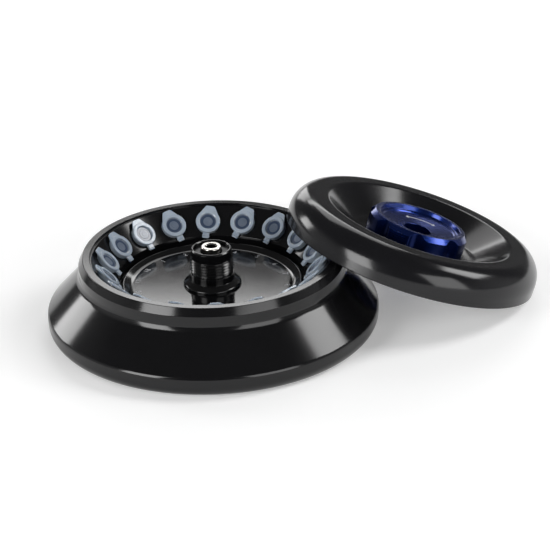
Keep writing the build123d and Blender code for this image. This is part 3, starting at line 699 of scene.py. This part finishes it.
# %% one tube and one cap, on their own axis
mouth_r = TUBE_R - TUBE_WALL
plug_r = mouth_r - PLUG_GAP
TUBE = [
    (0, -TUBE_LENGTH, 0), (TUBE_TIP_R, -TUBE_LENGTH, 1.4), (TUBE_R, -TUBE_STRAIGHT, 0.5),
    (TUBE_R, -SPOT_DEPTH, 0), (FLANGE_R, -SPOT_DEPTH, 0.1), (FLANGE_R, FLANGE_TOP, 0.2),
    (mouth_r, FLANGE_TOP, 0.1), (mouth_r, -TUBE_STRAIGHT, 0.5),
    (TUBE_TIP_R - TUBE_WALL, -TUBE_LENGTH + 1.6 * TUBE_WALL, 0.2), (0, -TUBE_LENGTH + 1.2 * TUBE_WALL, 0),
]
well_z = CAP_TOP - CAP_WELL_DEPTH
web_z = well_z - DISC_STEP
CAP = [
    (0, well_z + GATE_H, 0), (1.1, well_z + GATE_H, 0.1), (1.3, well_z, 0.1),
    (CAP_DISC_R - DISC_STEP, well_z, 0.05), (CAP_DISC_R, web_z, 0.05), (CAP_DISC_R + 0.3, web_z, 0),
    (CAP_WELL_R, web_z, 0.35), (CAP_WELL_R, CAP_TOP - 0.28, 0.15), (CAP_WELL_R + 0.42, CAP_TOP, 0.15),
    (CAP_R, CAP_TOP, 0.45), (CAP_R, FLANGE_TOP, 0.12), (plug_r, FLANGE_TOP, 0),
    (plug_r, FLANGE_TOP - PLUG_DEPTH, 0.25), (plug_r - CAP_WALL, FLANGE_TOP - PLUG_DEPTH, 0.1),
    (plug_r - CAP_WALL, well_z - CAP_WALL, 0.1), (0, well_z - CAP_WALL, 0),
]


def fold_roll(columns=20, rows=9):
    """The fold of the strap: a short roll across it, x = -HINGE_X + r cos a, z = FLANGE_TOP + r sin a."""
    y = np.linspace(-1, 1, rows)[:, None] * HINGE_W / 2
    a = np.arange(columns)[None, :] * 2 * np.pi / columns
    r = HINGE_ROLL_R * np.sqrt(np.clip(1 - (np.abs(y) / (HINGE_W / 2)) ** 10, 0.0, 1)) * 0.999
    return [grid(np.stack([-HINGE_X + r * np.cos(a), y + 0 * a, FLANGE_TOP + r * np.sin(a)], -1), flip=True)]


def thumb_lip(columns=49):
    """The cap's thumb lip: a slab between an inner radius and a reach that changes with the angle.

    Its side is a straight line that touches the cap's round at the angle touch, so it lies at r = edge /
    cos(touch - a), and its tip at r = reach / cos(a). The soft minimum of the two rounds the corner between
    them. The first and last columns shrink to nothing inside the cap, which closes the slab.
    """
    edge, root = CAP_R - LIP_EDGE, CAP_R - LIP_BITE
    touch = math.atan2(LIP_TIP_W / 2, LIP_REACH) + math.acos(edge / math.hypot(LIP_REACH, LIP_TIP_W / 2))
    a = np.linspace(-touch, touch, columns)
    side, tip = edge / np.cos(touch - np.abs(a)), LIP_REACH / np.cos(a)
    reach = (side + tip - np.sqrt((side - tip) ** 2 + 0.45 ** 2)) / 2
    reach[[0, -1]] = root
    low, high = FLANGE_TOP + LIP_STEP, CAP_TOP - LIP_STEP
    slab = [(root, low, 0), (reach, low, 0.2), (reach, high, 0.25), (root, high, 0)]
    return turned(slab, angles=np.degrees(a))


def strap(x_from, x_to, z, rows=8):
    """One leaf of the strap. It runs towards -x, so its faces and normals are turned over."""
    waist = HINGE_W / 2 - STRAP_WAIST * np.sin(np.linspace(0, np.pi, rows))
    leaf = bar(np.linspace(x_from, x_to, rows), waist, np.full(rows, z), np.full(rows, STRAP_T / 2))
    return [{**p, "f": p["f"][:, ::-1], "n": -p["n"]} for p in leaf]


low_z, high_z = FLANGE_TOP - HINGE_ROLL_R + STRAP_T / 2, FLANGE_TOP + HINGE_ROLL_R - STRAP_T / 2
strap_out = HINGE_X - HINGE_ROLL_R - FOLD_GAP
tube_patches = turned(TUBE, 64) + fold_roll() + strap(-FLANGE_R + 0.6, -HINGE_X + 0.2, low_z)
cap_patches = turned(CAP, 72) + thumb_lip() + strap(-CAP_R + 0.6, -strap_out, high_z)


def zone_of(patches, web_r, edge):
    """1 on the thin web within web_r of the axis, 0 on thick places, with a soft edge."""
    v = np.concatenate([p["v"] for p in patches])
    r = np.hypot(v[:, 0], v[:, 1])
    return np.clip((web_r + edge - r) / edge, 0, 1)


# %% [markdown]
# ## Eighteen tubes in their places
# A place's frame has its x axis up the wall, and its z axis out of the bore. Nobody sets 18 tubes alike, so
# each is turned in its bore by a few degrees. The caps that open ride on bodies of their own. The three under
# the leaning lid can't open and ride on the rotor.

# %% set the tubes
def place_of(number):
    """The frame of a place, as a 4 x 4 matrix in millimetres, with the tube's own turn in it."""
    s = 1 / ROOT2
    tilted = np.array([[s, 0, -s, bore_r0], [0, 1, 0, 0], [s, 0, s, bore_z0], [0, 0, 0, 1]])
    return about_z(azimuth(number)) @ tilted @ about_z(TWISTS[number - 1])


TUBE_WEB, CAP_WEB = (3.0, 1.5), (4.0, 0.5)       # radius of the thin place, and the width of its soft edge
CAP_DISC, DISC_MILK = (CAP_DISC_R - 0.1, 0.15), 0.3      # the disc, and how much milkier it is than the web
# zone puts the painted shade on the cap's thin web and on the tube's narrow tip
tube_zone = zone_of(tube_patches, *TUBE_WEB)
cap_zone = zone_of(cap_patches, *CAP_WEB) - DISC_MILK * zone_of(cap_patches, *CAP_DISC)
for number in range(1, PLACES + 1):
    at, own = place_of(number), f"cap_{number:02d}"
    piece(f"tube_{number:02d}_moulded", moved(tube_patches, at), "rotor", [pp],
          [f"tube_{number:02d}"], tube_zone)
    own = own if own in frame["bodies"] else "rotor"
    piece(f"cap_{number:02d}_moulded", moved(cap_patches, at), own, [pp],
          [f"tube_cap_{number:02d}"], cap_zone)

# %% [markdown]
# ## The lid
# The lid is one turned piece as well: a flat top ring, a conical dish, a full round down to the flank, and a
# seat ring. The big outer round isn't an arc but a Bezier curve, fuller near the flank. Its two ends stand in
# the outline as corners without rounds, and its own points are swept round as a patch of their own.

# %% lid shell and seal
LID_TOP_R, LID_ROUND_H, DISH_R, DISH_FLOOR_R, DISH_FLOOR_H = 57.8, 13.0, 50.4, 34.0, -12.0
LID_SEAT_R, LID_UNDER_H, LID_HOLE_R = 62.0, -16.0, 15.08
SEAL_IN_R, SEAL_OUT_R, SEAL_DEPTH, SEAL_PROUD = 63.4, 65.2, 1.3, 0.1


def bezier(a, b, c, d, count):
    """Points of a cubic Bezier curve: the sum of (1-t)^3 a, 3 t (1-t)^2 b, 3 t^2 (1-t) c and t^3 d."""
    t = np.linspace(0, 1, count)[:, None]
    a, b, c, d = (np.array(v, float) for v in (a, b, c, d))
    return (1 - t) ** 3 * a + 3 * t * (1 - t) ** 2 * b + 3 * t * t * (1 - t) * c + t ** 3 * d


ROUND_FROM, ROUND_TO = (LID_TOP_R, 0), (LID_R, -LID_ROUND_H)
outer_round = bezier(ROUND_FROM, (LID_TOP_R + 4.2, 0), (LID_R, -LID_ROUND_H * 0.36), ROUND_TO, 24)
LID = [
    (LID_HOLE_R, DISH_FLOOR_H, 0.3), (DISH_FLOOR_R, DISH_FLOOR_H, 3.0), (DISH_R, 0, 3.0), (*ROUND_FROM, 0),
    (*ROUND_TO, 0), (LID_R, -LID_H, LID_FOOT_ROUND), (SEAL_OUT_R, -LID_H, 0.1),
    (SEAL_OUT_R, -LID_H + SEAL_DEPTH, 0), (SEAL_IN_R, -LID_H + SEAL_DEPTH, 0), (SEAL_IN_R, -LID_H, 0.1),
    (LID_SEAT_R, -LID_H, 0.15), (LID_SEAT_R - 1.0, -10.0, 1.0), (DISH_R + 3.6, -8.0, 2.0),
    (DISH_FLOOR_R + 3.0, LID_UNDER_H, 0.6), (LID_HOLE_R, LID_UNDER_H, 0.3),
]
OUTER_RUN = 3
lid_angle = np.arange(360) * 2 * np.pi / 360
rr, zz = outer_round[:, :1], outer_round[:, 1:]
lid_patches = turned(LID, 360, skip=(OUTER_RUN,)) + [grid(spun(rr, lid_angle, zz), flip=True)]
piece("lid_turned", moved(lid_patches, LID_PLACE), "rotor", [lid_black], ["lid_shell"])
SEAL = [
    (SEAL_IN_R, -LID_H + SEAL_DEPTH, 0), (SEAL_OUT_R, -LID_H + SEAL_DEPTH, 0),
    (SEAL_OUT_R, -LID_H + 0.3, 0), (SEAL_OUT_R - 0.5, -LID_H - SEAL_PROUD, 0.4),
    (SEAL_IN_R + 0.5, -LID_H - SEAL_PROUD, 0.4), (SEAL_IN_R, -LID_H + 0.3, 0),
]
piece("seal_moulded", moved(turned(SEAL, 240), LID_PLACE), "rotor", [rubber], ["lid_seal"])

# %% [markdown]
# ## The knob
# Eight finger flutes are cut down the side of a turned knob. A flute is a cylinder of radius q whose axis
# stands at distance d. Along a ray at angle a off the flute's middle, its wall is at d cos a - sqrt(q^2 -
# d^2 sin^2 a). The knob's side is the smaller of that and the lobe's own radius, and a soft minimum,
# (u + v - sqrt((u - v)^2 + k^2)) / 2, rounds the edge between them. The 45 degree chamfer then
# ends where it meets the flute, which leaves the bright patches on the lobes.

# %% knob with its flutes
KNOB_TOP, KNOB_RIM_R, KNOB_RIM_IN_R, KNOB_LOBE_R, KNOB_LOBES, KNOB_PHASE = 0.3, 24.3, 22.2, 26.7, 8, 15.0
KNOB_FLUTE_R, KNOB_FLUTE_DEPTH, KNOB_STEP_R, KNOB_STEP_H = 6.0, 2.2, 19.4, -2.3
KNOB_WELL_R, KNOB_WELL_H, KNOB_HOLE_R, KNOB_SHANK_R, KNOB_END = 8.6, -4.4, 7.4, 15.0, -27.0
KNOB_BORE_R, KNOB_BORE_TOP, KNOB_GROOVE_R, CLIP_R, CLIP_T, CLIP_GAP = 10.6, -11.0, 13.9, 18.0, 1.2, 0.05
KNOB_COLUMNS, LOBE_EDGE = 480, 0.25              # LOBE_EDGE is the k that rounds the edges
flute_at = KNOB_LOBE_R - KNOB_FLUTE_DEPTH + KNOB_FLUTE_R
off = np.arange(KNOB_COLUMNS) * 360 / KNOB_COLUMNS - KNOB_PHASE - 180 / KNOB_LOBES
off = np.radians((off + 180 / KNOB_LOBES) % (360 / KNOB_LOBES) - 180 / KNOB_LOBES)
under = KNOB_FLUTE_R ** 2 - (flute_at * np.sin(off)) ** 2
flute = np.where(under > 0, flute_at * np.cos(off) - np.sqrt(np.maximum(under, 0)), flute_at * np.cos(off))
side = (KNOB_LOBE_R + flute - np.sqrt((KNOB_LOBE_R - flute) ** 2 + LOBE_EDGE ** 2)) / 2
clip_top = LID_UNDER_H - CLIP_GAP
KNOB = [
    (KNOB_HOLE_R, KNOB_WELL_H, 0.35), (KNOB_WELL_R, KNOB_WELL_H, 0.3), (KNOB_STEP_R, KNOB_STEP_H - 0.5, 0.15),
    (KNOB_STEP_R + 0.5, KNOB_STEP_H, 0.15), (KNOB_RIM_IN_R - 0.6, KNOB_STEP_H + 0.3, 0.4),
    (KNOB_RIM_IN_R, KNOB_TOP, 0.4), (KNOB_RIM_R, KNOB_TOP, 0.15),
    (side, KNOB_TOP - side + KNOB_RIM_R, 0.12), (side, DISH_FLOOR_H, 0.4),
    (KNOB_SHANK_R, DISH_FLOOR_H, 0), (KNOB_SHANK_R, clip_top, 0), (KNOB_GROOVE_R, clip_top, 0),
    (KNOB_GROOVE_R, clip_top - CLIP_T, 0), (KNOB_SHANK_R, clip_top - CLIP_T, 0.1),
    (KNOB_SHANK_R, KNOB_END, 0.8),
    (KNOB_BORE_R, KNOB_END, 0.8), (KNOB_BORE_R, KNOB_BORE_TOP, 0.3), (KNOB_HOLE_R, KNOB_BORE_TOP, 0.2),
]
piece("knob_turned", moved(turned(KNOB, KNOB_COLUMNS), LID_PLACE), "knob", [knob_blue],
      ["lid_knob"])

# %% [markdown]
# ## Marks
# The bowl's floor carries the place numbers, so that a sample can be found again. They are letters of
# Blender's own font, made into a mesh and laid flat on the floor, each with its foot towards the hub. The knob
# has a turning arrow on its dish, a flat strip along an arc with a head at each end.

# %% place numbers and the turning arrow
NUMBER_R, NUMBER_H, MARK_PROUD = 38.7, 3.1, 0.02
FONT_SIZE = 1.35                                 # font size for figures of height 1


def number_mesh(text):
    """A number as a flat mesh in millimetres, its middle at the origin and its foot towards -Y."""
    curve = bpy.data.curves.new("mark", "FONT")
    curve.body, curve.size, curve.align_x, curve.align_y = text, NUMBER_H * FONT_SIZE, "CENTER", "CENTER"
    curve.resolution_u = 4
    holder = bpy.data.objects.new("mark", curve)
    flat = bpy.data.meshes.new_from_object(holder)
    v = np.array([tuple(p.co) for p in flat.vertices])
    v[:, :2] -= (v[:, :2].max(0) + v[:, :2].min(0)) / 2
    faces = [tuple(f.vertices) for f in flat.polygons]
    bpy.data.objects.remove(holder)
    return v, faces


verts, faces = [], []
for number in range(1, PLACES + 1):
    v, f = number_mesh(str(number))
    at = about_z(azimuth(number) - 90)[:3, :3]
    faces += [tuple(i + len(verts) for i in face) for face in f]
    verts += ((v + (0, NUMBER_R, FLOOR_Z + MARK_PROUD)) @ at.T * MM).tolist()
marks_mesh = bpy.data.meshes.new("place_numbers")
marks_mesh.from_pydata(verts, [], faces)
marks_mesh.materials.append(laser_mark)
marks = put("place_numbers", marks_mesh)
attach(marks, "rotor")
print("numbers:", PLACES)


def arrow(radius, middle, half_span, width, head):
    """A strip along an arc on the knob's dish, with a triangle of half width head at each end.

    middle and half_span are angles in degrees, and width is half the strip's own width.
    """
    t = np.array([-1, -0.82, -0.82, *np.linspace(-0.8, 0.8, 25), 0.82, 0.82, 1])
    h = np.array([0.01, head, width, *np.full(25, width), width, head, 0.01])
    a = np.radians(middle + half_span * t)
    r = radius + np.stack([h, -h], 1)
    slope = (KNOB_STEP_H - 0.5 - KNOB_WELL_H) / (KNOB_STEP_R - KNOB_WELL_R)
    z = KNOB_WELL_H + (r - KNOB_WELL_R) * slope + MARK_PROUD
    return [grid(spun(r, a[:, None], z), ring=False)]


turn_arrow = arrow(radius=14.4, middle=78, half_span=34, width=0.3, head=1.35)
piece("turning_arrow", moved(turn_arrow, LID_PLACE), "knob", [laser_mark])

# %% [markdown]
# ## CAD nodes that stay
# Two hidden steel parts are plain enough to show as the CAD model has them. They only take a finish.

# %% finish the remaining CAD nodes
for name, material in (("hub_lock_nut", blackened_and_socket_shade), ("knob_clip", spring)):
    node = frame["nodes"][name]
    node.data.materials.clear()
    node.data.materials.append(material)

# %% [markdown]
# ## Camera
# A long lens, a metre away, looks down by 25 degrees. Its three axes are written as columns of a matrix:
# right, up, and backwards, because a Blender camera looks along its own -Z.

# %% camera
eye = np.array([0.03225, -0.93099, 0.46601])
right, up, forward = (0.99964, -0.01153, -0.02433), (0.02693, 0.42814, 0.90331), (0.0, 0.90364, -0.42829)
axes = np.eye(4)
axes[:3, :3] = np.stack([right, up, -np.array(forward)], 1)
axes[:3, 3] = eye
lens = bpy.data.cameras.new("camera")
lens.lens, lens.sensor_width, lens.clip_start, lens.clip_end = 130.909, 36.0, 0.02, 60.0
camera = put("camera", lens)
camera.matrix_world = Matrix(axes.tolist())
bpy.context.scene.camera = camera

# %% [markdown]
# ## Light
# Black polished metal shows almost nothing but reflections, so the lamps are placed for what they draw on it.
# Each is a soft box that fills a patch of the room, as seen from the object: two azimuths, counted clockwise
# from straight behind it, and two elevations. Each has a brightness, which is what a mirror would show.
#
# Two tall ones stand beside the camera, for the two bright ends of the flank, and two smaller ones beside the
# object. Three are behind it: a wide one high up, a narrow bright strip below that for the front of the
# bowl's floor, and a low one at the left. The patch in front of the flank stays dark. A lamp's power is its
# brightness times pi times its area.

# %% floor, lamps and world
TARGET = Vector((0.0, 0.0, 0.03))
SEEN_LIFT = 0.25                                 # what the table adds where it is seen, so that it is white


def soft_box(name, azimuth_range, elevation_range, distance, brightness):
    """An area lamp that fills that range of directions as seen from TARGET, and faces it."""
    az, el = (math.radians(sum(v) / 2) for v in (azimuth_range, elevation_range))
    wide, high = (math.radians(v[1] - v[0]) / 2 for v in (azimuth_range, elevation_range))
    toward = Vector((math.sin(az) * math.cos(el), math.cos(az) * math.cos(el), math.sin(el)))
    light = bpy.data.lights.new(name, "AREA")
    light.shape = "RECTANGLE"
    light.size = 2 * distance * math.tan(wide * math.cos(el))
    light.size_y = 2 * distance * math.tan(high)
    light.energy = brightness * math.pi * light.size * light.size_y
    turn = toward.to_track_quat("Z", "Y").to_matrix().to_4x4()
    put(name, light).matrix_world = Matrix.Translation(TARGET + distance * toward) @ turn


soft_box("left_front_box", (-146, -120), (0, 34), 1.3, 8.5)
soft_box("left_box", (-67, -49), (8, 26), 1.2, 7.0)
soft_box("right_back_box", (70, 98), (28, 50), 1.2, 8.5)
soft_box("right_front_box", (124, 158), (0, 33), 1.2, 3.6)
soft_box("back_high_box", (-12, 30), (32, 55), 1.3, 2.2)
soft_box("back_middle_box", (-16, 26), (26.1, 31.5), 1.3, 5.4)
soft_box("back_low_box", (-20, -3), (3, 22), 1.3, 2.7)


def seen(tree):
    """1 for the camera, for reflections and for glass, 0 for the light that reaches surfaces."""
    rays = add_node(tree, "LightPath").outputs
    direct = calc(tree, "MAXIMUM", rays["Is Camera Ray"], rays["Is Glossy Ray"])
    return calc(tree, "MAXIMUM", direct, rays["Is Transmission Ray"])


def floor_material():
    """A white table: matt white that takes the shadow, lifted a little where it is seen."""
    material, tree = new_material("white_table")
    lift = calc(tree, "MULTIPLY", seen(tree), SEEN_LIFT)
    matt_white = add_node(tree, "BsdfDiffuse", {"Color": linear("#f4f4f4")})
    glow = add_node(tree, "Emission", {"Color": linear("#ffffff")}, {"Strength": lift})
    both = add_node(tree, "AddShader", links={0: matt_white.outputs[0], 1: glow.outputs[0]})
    return with_shader(material, both)


TABLE_HALF, TABLE_Z = 6.0, -0.0002               # in metres: half its side, and a hair below the object's feet
square = ((-1, -1), (1, -1), (1, 1), (-1, 1))
floor_mesh = bpy.data.meshes.new("table")
floor_mesh.from_pydata([(x * TABLE_HALF, y * TABLE_HALF, TABLE_Z) for x, y in square], [], [(0, 1, 2, 3)])
floor_mesh.materials.append(floor_material())
table = put("table", floor_mesh)

world = bpy.data.worlds.new("studio")
bpy.context.scene.world = world
world.use_nodes = True
world.node_tree.nodes.clear()
sky = world.node_tree
toward = add_node(sky, "SeparateXYZ", links={"Vector": add_node(sky, "TexCoord").outputs["Generated"]}).outputs
aside = calc(sky, "ABSOLUTE", toward["X"])
strength = add_node(sky, "MapRange", {
    "From Min": 0.8, "From Max": 0.97, "To Min": 0.1, "To Max": 0.5,
}, {"Value": aside}).outputs[0]
background = add_node(sky, "Background", {"Color": linear("#ffffff")}, {"Strength": strength})
sky_out = sky.nodes.new("ShaderNodeOutputWorld")
sky.links.new(background.outputs[0], sky_out.inputs[0])

bpy.context.scene.view_settings.view_transform = "Standard"
